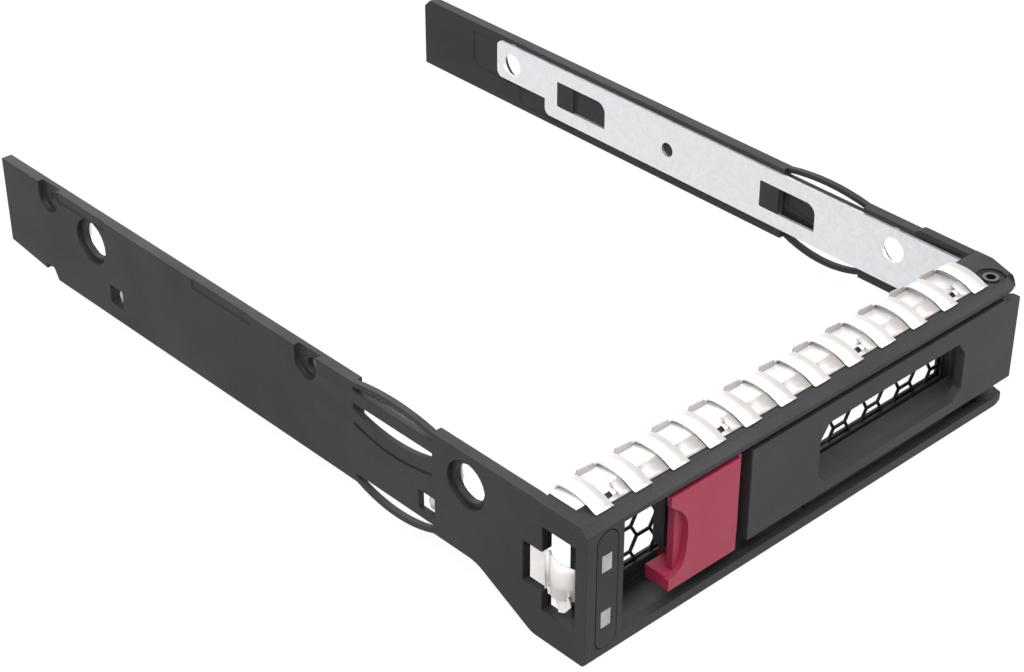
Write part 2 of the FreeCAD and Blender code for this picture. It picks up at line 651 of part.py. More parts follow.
def makeGroundSpring():
    """Bent contact in the left wall: a flat pad, a crest and a slanted leaf with a foot."""
    body = newBody("ground_spring")
    bend = newSketch(body, "SpringBend", "XY_Plane", "springFoot")
    crestFront = "springCrestRear - springCrestWidth"
    leafEnd = "sideWindowFront + 4 * springPlay"
    outline(bend, [
        ("3 * springSheet", "sideWindowRear - springPlay"),
        ("2 * springSheet", "sideWindowRear - springPlay"),
        ("0", "springPadRear"),
        ("0", "sideWindowStep - 0.8"),
        ("0 - springProud", "springCrestRear"),
        ("0 - springProud", crestFront),
        ("1.3", leafEnd),
        ("1.3 + springSheet", leafEnd),
        ("springSheet - springProud", crestFront + " + 0.1"),
        ("springSheet - springProud", "springCrestRear - 0.1"),
        ("springSheet", "sideWindowStep - 0.9"),
        ("springSheet", "springPadRear - 0.1"),
    ])
    pad(body, bend, "springTop - springFoot")
    trim = newSketch(body, "SpringTrim", "YZ_Plane")
    outline(trim, [
        ("0", "springFoot - 1"),
        ("sideWindowStep + 6", "springFoot - 1"),
        ("sideWindowStep + 6", "springPadBottom"),
        ("sideWindowStep - 0.3", "springPadBottom"),
        ("sideWindowStep - 1.1", "springFoot + 0.8"),
        ("sideWindowStep - 4.1", "springFoot"),
        (leafEnd, "springPadBottom + 0.4"),
        ("0", "springPadBottom + 0.4"),
    ])
    outline(trim, [
        ("sideWindowStep - 0.4", "lobeTop - springPlay"),
        ("sideWindowStep + 6", "lobeTop - springPlay"),
        ("sideWindowStep + 6", "springTop + 1"),
        ("sideWindowStep - 0.4", "springTop + 1"),
    ])
    pocket(body, trim)
    return body


def makeMesh():
    """Honeycomb vent behind the channel."""
    body = newBody("vent_mesh")
    left = "channelLeft + ventMargin - meshHold + meshPlay"
    right = "carrierWidth - pivotInset - bossRadius - ventMargin + meshHold - meshPlay"
    front = "bezelDepth - backWall / 2 - meshThickness / 2"
    block(body, "MeshBlank",
          (left, front, "backWindowBottom - meshHold + meshPlay"),
          (right, front + " + meshThickness", "backWindowTop + meshHold - meshPlay"))
    column = measure("cellPitch") * math.sqrt(3) / 2
    usable = measure("(%s) - (%s) - 2 * meshHold" % (right, left))
    pairs = int(usable / column / 2)
    rise = "(backWindowBottom + backWindowTop) / 2 - cellPitch * (cellRows - 1) / 2"
    start = "channelLeft + ventMargin + cellPitch * 0.7"
    cells = newSketch(body, "Cells", "XZ_Plane", "0 - (%s)" % front)
    hexagon(cells, start, rise)
    hexagon(cells, start + " + cellPitch * 0.8660254", rise + " + cellPitch / 2")
    holes = pocket(body, cells, "meshThickness", False)
    across = body.newObject("PartDesign::LinearPattern", "CellColumns")
    across.Direction = (cells, ["H_Axis"])
    across.setExpression("Length", bound("cellPitch * 1.7320508 * %d" % (pairs - 1)))
    across.Occurrences = pairs
    up = body.newObject("PartDesign::LinearPattern", "CellRows")
    up.Direction = (cells, ["V_Axis"])
    up.setExpression("Length", bound("cellPitch * (cellRows - 1)"))
    up.setExpression("Occurrences", bound("cellRows"))
    grid = body.newObject("PartDesign::MultiTransform", "CellGrid")
    grid.Originals = [holes]
    grid.Transformations = [across, up]
    body.Tip = grid
    doc.recompute()
    return body


def hexagon(sketch, u, v):
    """One open cell with level top and bottom."""
    flat = "(cellPitch - cellWall) / 2"
    side = flat + " / 0.8660254"
    outline(sketch, [
        (u + " + " + side, v),
        (u + " + " + side + " / 2", v + " + " + flat),
        (u + " - " + side + " / 2", v + " + " + flat),
        (u + " - " + side, v),
        (u + " - " + side + " / 2", v + " - " + flat),
        (u + " + " + side + " / 2", v + " - " + flat),
    ])


def makeFingerStrip():
    """Sprung contact strip over the bezel: base, rear flange and arched fingers."""
    body = newBody("finger_strip")
    rear = "bezelDepth + stripSheet"
    block(body, "StripBase", ("stripLeft", "stripFront", "bezelTop"),
          ("stripRight", rear, "bezelTop + stripSheet"))
    block(body, "StripFlange", ("stripLeft", "bezelDepth", "bezelTop - stripDrop"),
          ("stripRight", rear, "bezelTop + stripSheet"))
    arch = newSketch(body, "FingerArch", "YZ_Plane", "fingerStart")
    foot = "bezelTop + stripSheet"
    outline(arch, [
        (rear, foot),
        (rear + " - 2 * stripSheet", foot, "stripSheet - fingerRise"),
        ("fingerTip + 2 * stripSheet", foot),
        ("fingerTip", foot, "fingerRise"),
    ])
    finger = pad(body, arch, "fingerWidth")
    row = body.newObject("PartDesign::LinearPattern", "FingerRow")
    row.Originals = [finger]
    row.Direction = (arch, ["N_Axis"])
    row.setExpression("Length", bound("fingerPitch * (fingerCount - 1)"))
    row.setExpression("Occurrences", bound("fingerCount"))
    body.Tip = row
    doc.recompute()
    gap = "fingerStart + fingerWidth + fingerPitch * %d"
    notch = block(body, "TabNotch",
                  (gap % 0 + " + 1", "bezelDepth - 1", "bezelTop - stripDrop - 1"),
                  (gap % 0 + " + 1 + tabNotch", rear + " + 1", "bezelTop - stripDrop / 2"),
                  cut=True)
    notches = body.newObject("PartDesign::LinearPattern", "NotchRow")
    notches.Originals = [notch]
    notches.Direction = (arch, ["N_Axis"])
    notches.setExpression("Length", bound("fingerPitch * (fingerCount - 2)"))
    notches.setExpression("Occurrences", bound("fingerCount - 1"))
    body.Tip = notches
    doc.recompute()
    tangs = newSketch(body, "Tangs", "XY_Plane", "bezelTop")
    for number in (0, 3, 7, 10):
        outline(tangs, [
            (gap % number + " + 0.6", "bezelDepth / 2"),
            (gap % number + " + 2.6", "bezelDepth / 2"),
            (gap % number + " + 1.2", "bezelDepth / 2 + tangLength"),
        ])
    pocket(body, tangs, "stripSheet + 0.01", True)
    return body


def makeCover():
    body = newBody("indicator_cover")
    face = newSketch(body, "CoverFace", "XZ_Plane")
    outline(face, [
        ("coverLeft", "coverBottom + coverWidth / 2", "0 - coverWidth / 2 + 0.01"),
        ("coverLeft + coverWidth", "coverBottom + coverWidth / 2"),
        ("coverLeft + coverWidth", "coverTop - coverWidth / 2", "0 - coverWidth / 2 + 0.01"),
        ("coverLeft", "coverTop - coverWidth / 2"),
    ])
    pad(body, face, "coverThickness", True)
    left = "coverLeft + coverWidth / 2 - lensWidth / 2 - lensPlay"
    for name, centre in (("UpperOpening", "lensUpper"), ("LowerOpening", "lensLower")):
        block(body, name, (left, "-1", centre + " - lensHeight / 2 - lensPlay"),
              (left + " + lensWidth + 2 * lensPlay", "coverThickness + 1",
               centre + " + lensHeight / 2 + lensPlay"), cut=True)
    return body


def makeLens(label, centre):
    body = newBody(label)
    left = "coverLeft + coverWidth / 2 - lensWidth / 2"
    block(body, label.title().replace("_", ""),
          (left, "0.1", centre + " - lensHeight / 2"),
          (left + " + lensWidth", "indicatorWall + 0.6", centre + " + lensHeight / 2"))
    return body


def makeLever():
    """Shell-shaped handle with a finger window, a hub at its right end and a toe beyond it."""
    body = newBody("latch_lever")
    pivot = ("carrierWidth - pivotInset", "pivotDepth")
    shellRight = "carrierWidth - pivotInset - bossRadius - 1"
    block(body, "LeverShell", ("leverLeft", "0", "leverBottom"),
          (shellRight, "leverDepth", "leverTop"))
    block(body, "LeverHollow", ("leverLeft + leverWall", "leverFace", "leverBottom + leverWall"),
          (shellRight + " - leverWall", "leverDepth + 1", "leverTop - leverWall"), cut=True)
    block(body, "LeverFront", (shellRight + " - 1", "0", "leverBottom"),
          (pivot[0], "leverFace", "leverTop"))
    block(body, "Toe", (pivot[0] + " - 1", "0", "leverBottom"),
          ("carrierWidth - leverInset", "toeDepth", "leverTop - toeDrop"))
    rod(body, "Hub", pivot + ("leverBottom",), "bossRadius", "leverTop - leverBottom")
    block(body, "HubWeb", (shellRight + " - 1", "leverFace - 0.5", "leverBottom"),
          (pivot[0], "pivotDepth + 0.6", "leverTop"))
    rod(body, "HubBore", pivot + ("0",), "pinRadius + pinPlay", "bezelTop", cut=True)
    rod(body, "SpringRoom", pivot + ("leverTop - torsionRoom",), "bossRadius - 0.5",
        "torsionRoom + 1", cut=True)
    grip = newSketch(body, "FingerWindow", "XZ_Plane")
    outline(grip, [
        ("gripLeft", "gripBottom + gripBevel"),
        ("gripLeft + gripBevel", "gripBottom"),
        ("gripRight - gripBevel", "gripBottom"),
        ("gripRight", "gripBottom + gripBevel"),
        ("gripRight", "gripTop - gripBevel"),
        ("gripRight - gripBevel", "gripTop"),
        ("gripLeft + gripBevel", "gripTop"),
        ("gripLeft", "gripTop - gripBevel"),
    ])
    window = pocket(body, grip, "leverFace + 0.01")
    toeEdges = uprightEdges(window, measure("carrierWidth - leverInset"), measure("toeDepth"))
    chamfer(body, window, toeEdges, "toeBevel")

    # The rib that the button's hook holds.
    ribLeft = "slideRight - catchPlay - 2 * catchThickness - 1.2"
    block(body, "CatchRib", (ribLeft, "leverFace", "slideTop - 4"),
          (ribLeft + " + catchThickness", "leverDepth", "slideTop - 0.6"))
    return body


def makePin():
    """Hollow pivot pin, pressed into the frame's two bosses."""
    body = newBody("pivot_pin")
    pivot = ("carrierWidth - pivotInset", "pivotDepth")
    rod(body, "PinBody", pivot + ("floorPanel / 2",), "pinRadius",
        "bezelTop - floorPanel / 2 - 0.2")
    rod(body, "PinHollow", pivot + ("0",), "pinBore", "bezelTop + 1", cut=True)
    return body


def coil(body, name, role, base, radius, wire, pitch, turns):
    """A helical spring about an axis through base, along the body's axis of that role."""
    sketch = newSketch(body, name + "Wire", "XZ_Plane", "0 - (%s)" % base[1])
    if role == "Z":
        middle = ("%s + %s" % (base[0], radius), base[2])
        start = (base[0], base[2])
        end = (base[0], base[2] + " + 10")
    else:
        middle = (base[0], "%s + %s" % (base[2], radius))
        start = (base[0], base[2])
        end = (base[0] + " + 10", base[2])
    rectangle(sketch, middle[0] + " - " + wire, middle[1] + " - " + wire,
              middle[0] + " + " + wire, middle[1] + " + " + wire)
    first = FreeCAD.Vector(measure(start[0]), measure(start[1]), 0)
    last = FreeCAD.Vector(measure(end[0]), measure(end[1]), 0)
    line = sketch.addGeometry(Part.LineSegment(first, last), True)
    pinPoint(sketch, line, 1, *start)
    pinPoint(sketch, line, 2, *end)
    feature = body.newObject("PartDesign::AdditiveHelix", name)
    feature.Profile = sketch
    feature.ReferenceAxis = (sketch, ["Axis0"])
    feature.Mode = 1
    feature.setExpression("Pitch", bound(pitch))
    feature.setExpression("Turns", bound(turns))
    doc.recompute()
    return feature


def makeLeverSpring():
    """Torsion spring round the pin, inside the top of the lever's hub."""
    body = newBody("lever_spring")
    pitch = "torsionWire * 2.4"
    base = ("carrierWidth - pivotInset", "pivotDepth", "leverTop - torsionRoom + torsionWire + 0.2")
    coil(body, "LeverSpringCoil", "Z", base, "(pinRadius + bossRadius - 0.5) / 2",
         "torsionWire", pitch, "torsionTurns")
    return body


def makeReturnSpring():
    """Compression spring between the button's slide and the frame's post."""
    body = newBody("button_spring")
    room = "returnRoom - 2 * returnWire - 0.1"
    base = ("slideRight + returnWire + 0.05", "slideBack - 0.85", "slideTop - 2.4")
    coil(body, "ButtonSpringCoil", "X", base, "returnRadius", "returnWire",
         "(%s) / returnTurns" % room, "returnTurns")
    return body


def makeButton():
    """Release button with a thumb scoop, on a slide that hooks the lever."""
    body = newBody("release_button")
    face = block(body, "ButtonBlock", ("buttonLeft", "0", "buttonBottom"),
                 ("buttonRight", "buttonDepth", "buttonTop"))
    edge = uprightEdges(face, measure("buttonRight"), 0)
    chamfer(body, face, edge, "buttonEdge")
    scoop = newSketch(body, "ThumbScoop", "XZ_Plane")
    outline(scoop, [
        ("buttonLeft - 1", "scoopBottom - 0.2"),
        ("buttonLeft + scoopReach / 2", "scoopBottom", "0 - 0.6"),
        ("buttonLeft + scoopReach", "scoopBottom + 4"),
        ("buttonLeft + scoopReach - 0.3", "buttonTop - 5.6"),
        ("buttonLeft + scoopReach / 2", "buttonTop - 3.1"),
        ("buttonLeft - 1", "buttonTop + 0.5"),
    ])
    pocket(body, scoop, "scoopDepth")
    block(body, "ScoopFloor", ("buttonLeft - 1", "scoopDepth / 2", "scoopBottom + 4"),
          ("buttonLeft + scoopStep", "scoopFloor", "buttonTop - 3.1"), cut=True)
    front = "leverDepth + 0.35"
    block(body, "Slide", ("buttonLeft", front, "buttonBottom"),
          ("slideRight", "slideBack", "slideTop"))
    block(body, "SlideNeck", ("buttonLeft + 4", "buttonDepth - 1", "buttonBottom"),
          ("buttonRight - 1", front + " + 0.1", "slideTop"))
    block(body, "HookStem", ("slideRight - catchThickness + 0.6", "leverFace + 1.2",
                             "slideTop - 4"),
          ("slideRight", front + " + 0.1", "slideTop - 0.6"))
    block(body, "HookTip", ("slideRight - catchThickness - 1.2", "leverFace + 1.2",
                            "slideTop - 4"),
          ("slideRight", "leverFace + 2.6", "slideTop - 0.6"))
    return body


parts = [
    makeFrame(),
    makePlate("left_side_plate", "Left", "plateStepLeft",
              "plateBottom + plateRadius + 0.4", "headHoleRadius - 0.6", True),
    makePlate("right_side_plate", "Right", "plateStepRight", "plateNeck",
              "screwHoleRadius", False),
    makeFingerStrip(),
    makeGroundSpring(),
    makeMesh(),
    makeCover(),
    makeLens("upper_lens", "lensUpper"),
    makeLens("lower_lens", "lensLower"),
    makeLever(),
    makePin(),
    makeLeverSpring(),
    makeButton(),
    makeReturnSpring(),
]

for part in parts:
    part.setExpression("Placement.Base.x", bound("(springProud - carrierWidth) / 2"))
    part.setExpression("Placement.Base.y", bound("0 - railLength / 2"))
doc.recompute()

for item in doc.Objects:
    if "Invalid" in item.State or "Error" in item.State:
        raise RuntimeError("%s failed: %s" % (item.Label, item.State))
for part in parts:
    if part.Shape.isNull() or not part.Shape.isValid() or len(part.Shape.Solids) != 1:
        raise RuntimeError("%s has no sound solid (%d)" % (part.Label, len(part.Shape.Solids)))

os.makedirs("parts", exist_ok=True)
for part in parts:
    part.Shape.exportStep("parts/%s.step" % part.Label)
    box = part.Shape.BoundBox
    print("%-18s %8.1f mm3  x %.2f..%.2f  y %.2f..%.2f  z %.2f..%.2f" % (
        part.Label, part.Shape.Volume, box.XMin, box.XMax, box.YMin, box.YMax,
        box.ZMin, box.ZMax))
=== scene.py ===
import json
import math

import bmesh
import bpy
from mathutils import Matrix, Vector
from mathutils.geometry import interpolate_bezier


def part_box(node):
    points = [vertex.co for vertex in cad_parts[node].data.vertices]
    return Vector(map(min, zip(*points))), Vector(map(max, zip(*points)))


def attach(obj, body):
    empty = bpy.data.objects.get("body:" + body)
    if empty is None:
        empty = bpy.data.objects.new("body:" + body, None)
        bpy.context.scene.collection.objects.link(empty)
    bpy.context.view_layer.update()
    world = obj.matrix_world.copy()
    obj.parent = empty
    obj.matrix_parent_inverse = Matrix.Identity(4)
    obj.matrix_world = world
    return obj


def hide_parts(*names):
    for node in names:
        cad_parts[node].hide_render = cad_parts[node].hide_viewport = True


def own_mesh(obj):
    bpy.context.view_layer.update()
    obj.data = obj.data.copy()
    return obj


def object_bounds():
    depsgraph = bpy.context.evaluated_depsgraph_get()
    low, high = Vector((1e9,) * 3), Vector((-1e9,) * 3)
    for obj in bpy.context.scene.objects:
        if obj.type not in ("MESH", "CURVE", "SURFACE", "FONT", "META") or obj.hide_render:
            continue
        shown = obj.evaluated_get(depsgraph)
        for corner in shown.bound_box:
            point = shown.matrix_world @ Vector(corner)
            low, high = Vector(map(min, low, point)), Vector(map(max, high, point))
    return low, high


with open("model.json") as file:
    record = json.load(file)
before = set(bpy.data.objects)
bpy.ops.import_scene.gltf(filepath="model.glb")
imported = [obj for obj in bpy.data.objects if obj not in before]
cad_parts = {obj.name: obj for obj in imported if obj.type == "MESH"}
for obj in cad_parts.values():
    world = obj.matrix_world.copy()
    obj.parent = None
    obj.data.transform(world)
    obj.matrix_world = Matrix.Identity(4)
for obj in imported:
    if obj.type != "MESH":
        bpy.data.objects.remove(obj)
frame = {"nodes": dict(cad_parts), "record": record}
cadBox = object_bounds()
mm = 0.001
print("frame loaded")


class Wire:
    # one socket of a node, with the arithmetic that adds Math nodes
    def __init__(self, finish, socket):
        self.finish = finish
        self.socket = socket

    def combine(self, operation, first, second):
        return self.finish.add("ShaderNodeMath", {"operation": operation}, {0: first, 1: second})

    def __add__(self, other):
        return self.combine("ADD", self, other)

    def __radd__(self, other):
        return self.combine("ADD", other, self)

    def __sub__(self, other):
        return self.combine("SUBTRACT", self, other)

    def __rsub__(self, other):
        return self.combine("SUBTRACT", other, self)

    def __mul__(self, other):
        return self.combine("MULTIPLY", self, other)

    def __rmul__(self, other):
        return self.combine("MULTIPLY", other, self)

    def clamped(self, low, high):
        settings = {"clamp": True, "interpolation_type": "LINEAR"}
        inputs = {"Value": self, "From Min": low, "From Max": high}
        return self.finish.add("ShaderNodeMapRange", settings, inputs)


class Finish:
    # the nodes of a material, or of the world
    def __init__(self, name, kind="materials"):
        self.owner = getattr(bpy.data, kind).new(name)
        self.owner.use_nodes = True
        self.tree = self.owner.node_tree
        self.tree.nodes.clear()

    def add(self, kind, settings=None, inputs=None, output=0):
        node = self.tree.nodes.new(kind)
        for key, value in (settings or {}).items():
            setattr(node, key, value)
        for key, value in (inputs or {}).items():
            if isinstance(value, Wire):
                self.tree.links.new(value.socket, node.inputs[key])
            else:
                node.inputs[key].default_value = value
        return None if output is None else Wire(self, node.outputs[output])

    def noise(self, size, detail, roughness, stretch=(1, 1, 1), output="Fac"):
        point = self.add("ShaderNodeTexCoord", output="Object")
        spot = self.add("ShaderNodeMapping", {}, {"Vector": point, "Scale": stretch})
        inputs = {"Vector": spot, "Scale": 1 / size, "Detail": detail, "Roughness": roughness}
        return self.add("ShaderNodeTexNoise", {}, inputs, output)

    def mix(self, amount, first, second):
        # sockets 0, 6, 7 and output 2 of a Mix node are its factor and colours
        return self.add("ShaderNodeMix", {"data_type": "RGBA"}, {0: amount, 6: first, 7: second}, 2)

    def bump(self, height, depth, strength):
        return self.add("ShaderNodeBump", {}, {"Height": height, "Distance": depth, "Strength": strength})

    def done(self, **sockets):
        inputs = {name.replace("_", " "): value for name, value in sockets.items()}
        shader = self.add("ShaderNodeBsdfPrincipled", {}, inputs)
        self.add("ShaderNodeOutputMaterial", {}, {"Surface": shader}, None)
        return self.owner


# black plastics: a fine spark-eroded grain, a slow cloud and a few rubbed spots

plastic = {
    "frame": (0.0108, 0.0097, 0.0112, 1),
    "lever": (0.0168, 0.0148, 0.0176, 1),
    "worn": (0.034, 0.032, 0.035, 1),
    "cover": (0.01, 0.01, 0.0105, 1),
    "coverWorn": (0.02, 0.02, 0.02, 1),
    "vent": (0.006, 0.006, 0.006, 1),
    "ventWorn": (0.015, 0.015, 0.015, 1),
    "shine": 0.32,
    "grain": 0.28 * mm,
    "finer": 2.6,  # how many times finer the second grain is
    "cloud": 22 * mm,
    "rub": 1.6 * mm,
    "rubShare": 0.5,
    "grainShare": 0.3,
    "roughness": (0.5, 0.66),
    "depth": 0.02 * mm,
    "coverDepth": 0.006 * mm,
    "ventDepth": 0.008 * mm,
    "relief": 0.55,
}


def texturedPlastic(name, colour, worn, depth):
    finish = Finish(name)
    grain = finish.noise(plastic["grain"], 2, 0.6)
    fine = finish.noise(plastic["grain"] / plastic["finer"], 1, 0.5)
    cloud = finish.noise(plastic["cloud"], 3, 0.55)
    rub = finish.noise(plastic["rub"], 4, 0.7).clamped(0.62, 0.8) * cloud.clamped(0.45, 0.62)
    low, high = plastic["roughness"]
    lighter = rub * plastic["rubShare"] + grain.clamped(0.35, 0.7) * plastic["grainShare"]
    return finish.done(
        Base_Color=finish.mix(lighter, colour, worn),
        Roughness=cloud.clamped(0.3, 0.7) * (high - low) + low,
        Specular_IOR_Level=plastic["shine"],
        Normal=finish.bump(grain * 0.7 + fine * 0.3, depth, plastic["relief"]),
    )


galvanised = {
    "colour": (0.78, 0.79, 0.81, 1),
    "darker": (0.66, 0.665, 0.68, 1),
    "spangle": 0.9 * mm,
    "wander": 5 * mm,
    "wanderBy": (1.2 * mm, 1.2 * mm, 1.2 * mm),
    "streak": 0.5 * mm,
    "streakStretch": (1, 0.12, 1),
    "roughness": 0.34,
    "depth": 0.012 * mm,
}


def galvanisedSteel():
    finish = Finish("galvanised steel sheet")
    wander = finish.noise(galvanised["wander"], 2, 0.5, output="Color")
    point = finish.add("ShaderNodeTexCoord", output="Object")
    inputs = {0: wander, 1: galvanised["wanderBy"], 2: point}
    bent = finish.add("ShaderNodeVectorMath", {"operation": "MULTIPLY_ADD"}, inputs)
    inputs = {"Vector": bent, "Scale": 1 / galvanised["spangle"], "Randomness": 1.0}
    cells = finish.add("ShaderNodeTexVoronoi", {"feature": "F1"}, inputs, "Color")
    leaf = finish.add("ShaderNodeSeparateColor", {}, {"Color": cells}, 0)
    streak = finish.noise(galvanised["streak"], 3, 0.6, galvanised["streakStretch"])
    return finish.done(
        Base_Color=finish.mix(leaf * 0.35 + streak * 0.35, galvanised["colour"], galvanised["darker"]),
        Metallic=0.9,
        Roughness=leaf * 0.1 + streak * 0.12 + galvanised["roughness"],
        Normal=finish.bump(leaf * 0.5 + streak * 0.5, galvanised["depth"], 0.5),
    )


# rolled spring steel: bright; a darker copy whose colour is painted shade, for the leaves and tabs; and a
# paler copy whose colour is painted light, for the flat base where it lies flat

rolledSteel = {
    "line": 0.35 * mm,
    "stretch": (0.06, 1, 1),
    "cloud": 7 * mm,
    "bright": ((0.84, 0.805, 0.79, 1), (0.55, 0.515, 0.5, 1)),
    # painted shade: the same steel made darker, for the parts meant to look shaded
    "paintedShade": ((0.5, 0.475, 0.465, 1), (0.38, 0.36, 0.35, 1)),
    # painted light: the same steel made paler, so the flat base looks brightly lit
    "pale": ((0.95, 0.95, 0.95, 1), (0.86, 0.85, 0.84, 1)),
    "brightRoughness": 0.34,
    "paintedShadeRoughness": 0.48,
    "paleRoughness": 0.45,
    "depth": 0.004 * mm,
}


def rolledLines(finish):
    return finish.noise(rolledSteel["line"], 3, 0.65, rolledSteel["stretch"])


def springSteel():
    finish = Finish("bright spring steel")
    rolled = rolledLines(finish)
    cloud = finish.noise(rolledSteel["cloud"], 2, 0.5)
    darker = rolled * 0.3 + cloud.clamped(0.35, 0.65) * 0.4
    return finish.done(
        Base_Color=finish.mix(darker, *rolledSteel["bright"]),
        Metallic=0.85,
        Roughness=rolled * 0.16 + cloud * 0.1 + rolledSteel["brightRoughness"],
        Normal=finish.bump(rolled, rolledSteel["depth"], 0.5),
    )


# the darker copy of the steel: its colour is painted shade for the leaves and tabs
def paintedShadeSteel():
    finish = Finish("spring steel with painted shade")
    rolled = rolledLines(finish)
    shade = finish.mix(rolled, *rolledSteel["paintedShade"])
    return finish.done(
        Base_Color=shade, Metallic=0.6, Roughness=rolled * 0.15 + rolledSteel["paintedShadeRoughness"])


# the paler copy of the steel: its colour is painted light for the flat base
def paintedLightSteel():
    finish = Finish("flat of the strip with painted light")
    rolled = rolledLines(finish)
    shade = finish.mix(rolled * 0.4, *rolledSteel["pale"])
    return finish.done(
        Base_Color=shade, Metallic=0.2, Roughness=rolled * 0.1 + rolledSteel["paleRoughness"])


drawn = {
    "line": 0.2 * mm,
    "stretch": (1, 1, 0.1),
    "colour": (0.2, 0.2, 0.205, 1),
    "darker": (0.11, 0.11, 0.115, 1),
    "roughness": 0.25,
}


def drawnSteel():
    finish = Finish("drawn steel wire and pin")
    lines = finish.noise(drawn["line"], 2, 0.6, drawn["stretch"])
    shade = finish.mix(lines, drawn["colour"], drawn["darker"])
    return finish.done(Base_Color=shade, Metallic=1.0, Roughness=lines * 0.2 + drawn["roughness"])


maroon = {
    "colour": (0.25, 0.016, 0.045, 1),
    "deep": (0.19, 0.01, 0.032, 1),
    "grain": 0.24 * mm,
    "cloud": 6 * mm,
    "roughness": 0.42,
    "shine": 0.35,
    "depth": 0.012 * mm,
}


def buttonPlastic():
    finish = Finish("maroon button plastic")
    grain = finish.noise(maroon["grain"], 2, 0.6)
    cloud = finish.noise(maroon["cloud"], 3, 0.5)
    return finish.done(
        Base_Color=finish.mix(cloud * 0.5 + grain * 0.25, maroon["colour"], maroon["deep"]),
        Roughness=cloud * 0.14 + maroon["roughness"],
        Specular_IOR_Level=maroon["shine"],
        Normal=finish.bump(grain, maroon["depth"], 0.4),
    )


frosted = {
    "colour": (0.3, 0.295, 0.31, 1),
    "deep": (0.22, 0.215, 0.225, 1),
    "cloud": 1.4 * mm,
    "roughness": 0.25,
}


def lensPlastic():
    finish = Finish("frosted lens plastic")
    cloud = finish.noise(frosted["cloud"], 3, 0.6)
    shade = finish.mix(cloud.clamped(0.3, 0.7), frosted["colour"], frosted["deep"])
    return finish.done(Base_Color=shade, Roughness=cloud * 0.2 + frosted["roughness"])


finishes = {
    "frame_plastic": texturedPlastic(
        "black frame plastic", plastic["frame"], plastic["worn"], plastic["depth"]),
    "lever_plastic": texturedPlastic(
        "black lever plastic", plastic["lever"], plastic["worn"], plastic["depth"]),
    "cover_plastic": texturedPlastic(
        "black cover plastic", plastic["cover"], plastic["coverWorn"], plastic["coverDepth"]),
    "mesh_black": texturedPlastic(
        "black vent plastic", plastic["vent"], plastic["ventWorn"], plastic["ventDepth"]),
    "galvanised_steel": galvanisedSteel(),
    "spring_steel": springSteel(),
    "pin_steel": drawnSteel(),
    "painted_shade_steel": paintedShadeSteel(),
    "painted_light_steel": paintedLightSteel(),
    "lens_plastic": lensPlastic(),
    "button_plastic": buttonPlastic(),
}

for part in frame["record"]["subparts"]:
    node = frame["nodes"][part["node"]]
    for number in range(len(node.material_slots)):
        node.material_slots[number].material = finishes[part["material_slot"]]
print("finishes made")


# pieces modelled over the plain solids; sizes in millimetres from the lower front left corner

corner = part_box("carrier_frame")[0]


def at(x, y, z):
    return corner + Vector((x, y, z)) * mm


def prism(shape, points, start, end, along="y"):
    # a closed block: an outline of (x, z) points pushed along y, or of (y, z) points along x
    spots = []
    for first, second in points:
        spots.append(at(first, start, second) if along == "y" else at(start, first, second))
    verts = [shape.verts.new(spot) for spot in spots]
    face = shape.faces.new(verts)
    grown = bmesh.ops.extrude_face_region(shape, geom=[face], use_keep_orig=True)
    moved = [item for item in grown["geom"] if isinstance(item, bmesh.types.BMVert)]
    push = Vector((0, end - start, 0)) if along == "y" else Vector((end - start, 0, 0))
    bmesh.ops.translate(shape, verts=moved, vec=push * mm)


def box(shape, low, high):
    sides = [(low[0], low[2]), (high[0], low[2]), (high[0], high[2]), (low[0], high[2])]
    prism(shape, sides, low[1], high[1])


def sheetEdge(shape, spots):
    # a line of points pulled into a sheet; gives the new points, which still lie on the old ones
    verts = [shape.verts.new(spot) for spot in spots]
    edges = [shape.edges.new(pair) for pair in zip(verts, verts[1:])]
    grown = bmesh.ops.extrude_edge_only(shape, edges=edges)
    return [item for item in grown["geom"] if isinstance(item, bmesh.types.BMVert)]


def ribbon(shape, profile, left, right):
    # a bent sheet with the (y, z) profile, from left to right
    moved = sheetEdge(shape, [at(left, y, z) for y, z in profile])
    bmesh.ops.translate(shape, verts=moved, vec=Vector((right - left, 0, 0)) * mm)


def bend(start, firstHandle, secondHandle, end, steps):
    spots = [Vector(spot).to_3d() for spot in (start, firstHandle, secondHandle, end)]
    return [(point.x, point.y) for point in interpolate_bezier(*spots, steps)]


def nodeShape(node):
    # a copy of the solid's surface with its triangles joined up into whole faces
    shape = bmesh.new()
    shape.from_mesh(frame["nodes"][node].data)
    bmesh.ops.remove_doubles(shape, verts=shape.verts, dist=0.0005 * mm)
    bmesh.ops.dissolve_limit(
        shape, angle_limit=math.radians(0.4), verts=shape.verts, edges=shape.edges,
        use_dissolve_boundaries=False)
    return shape


def pointsInside(shape, low, high):
    lowest, highest = at(*low), at(*high)
    return [vert for vert in shape.verts
            if all(lowest[axis] < vert.co[axis] < highest[axis] for axis in range(3))]


edging = {"sharpFrom": 32, "bevelFrom": 40, "segments": 2}  # angles in degrees


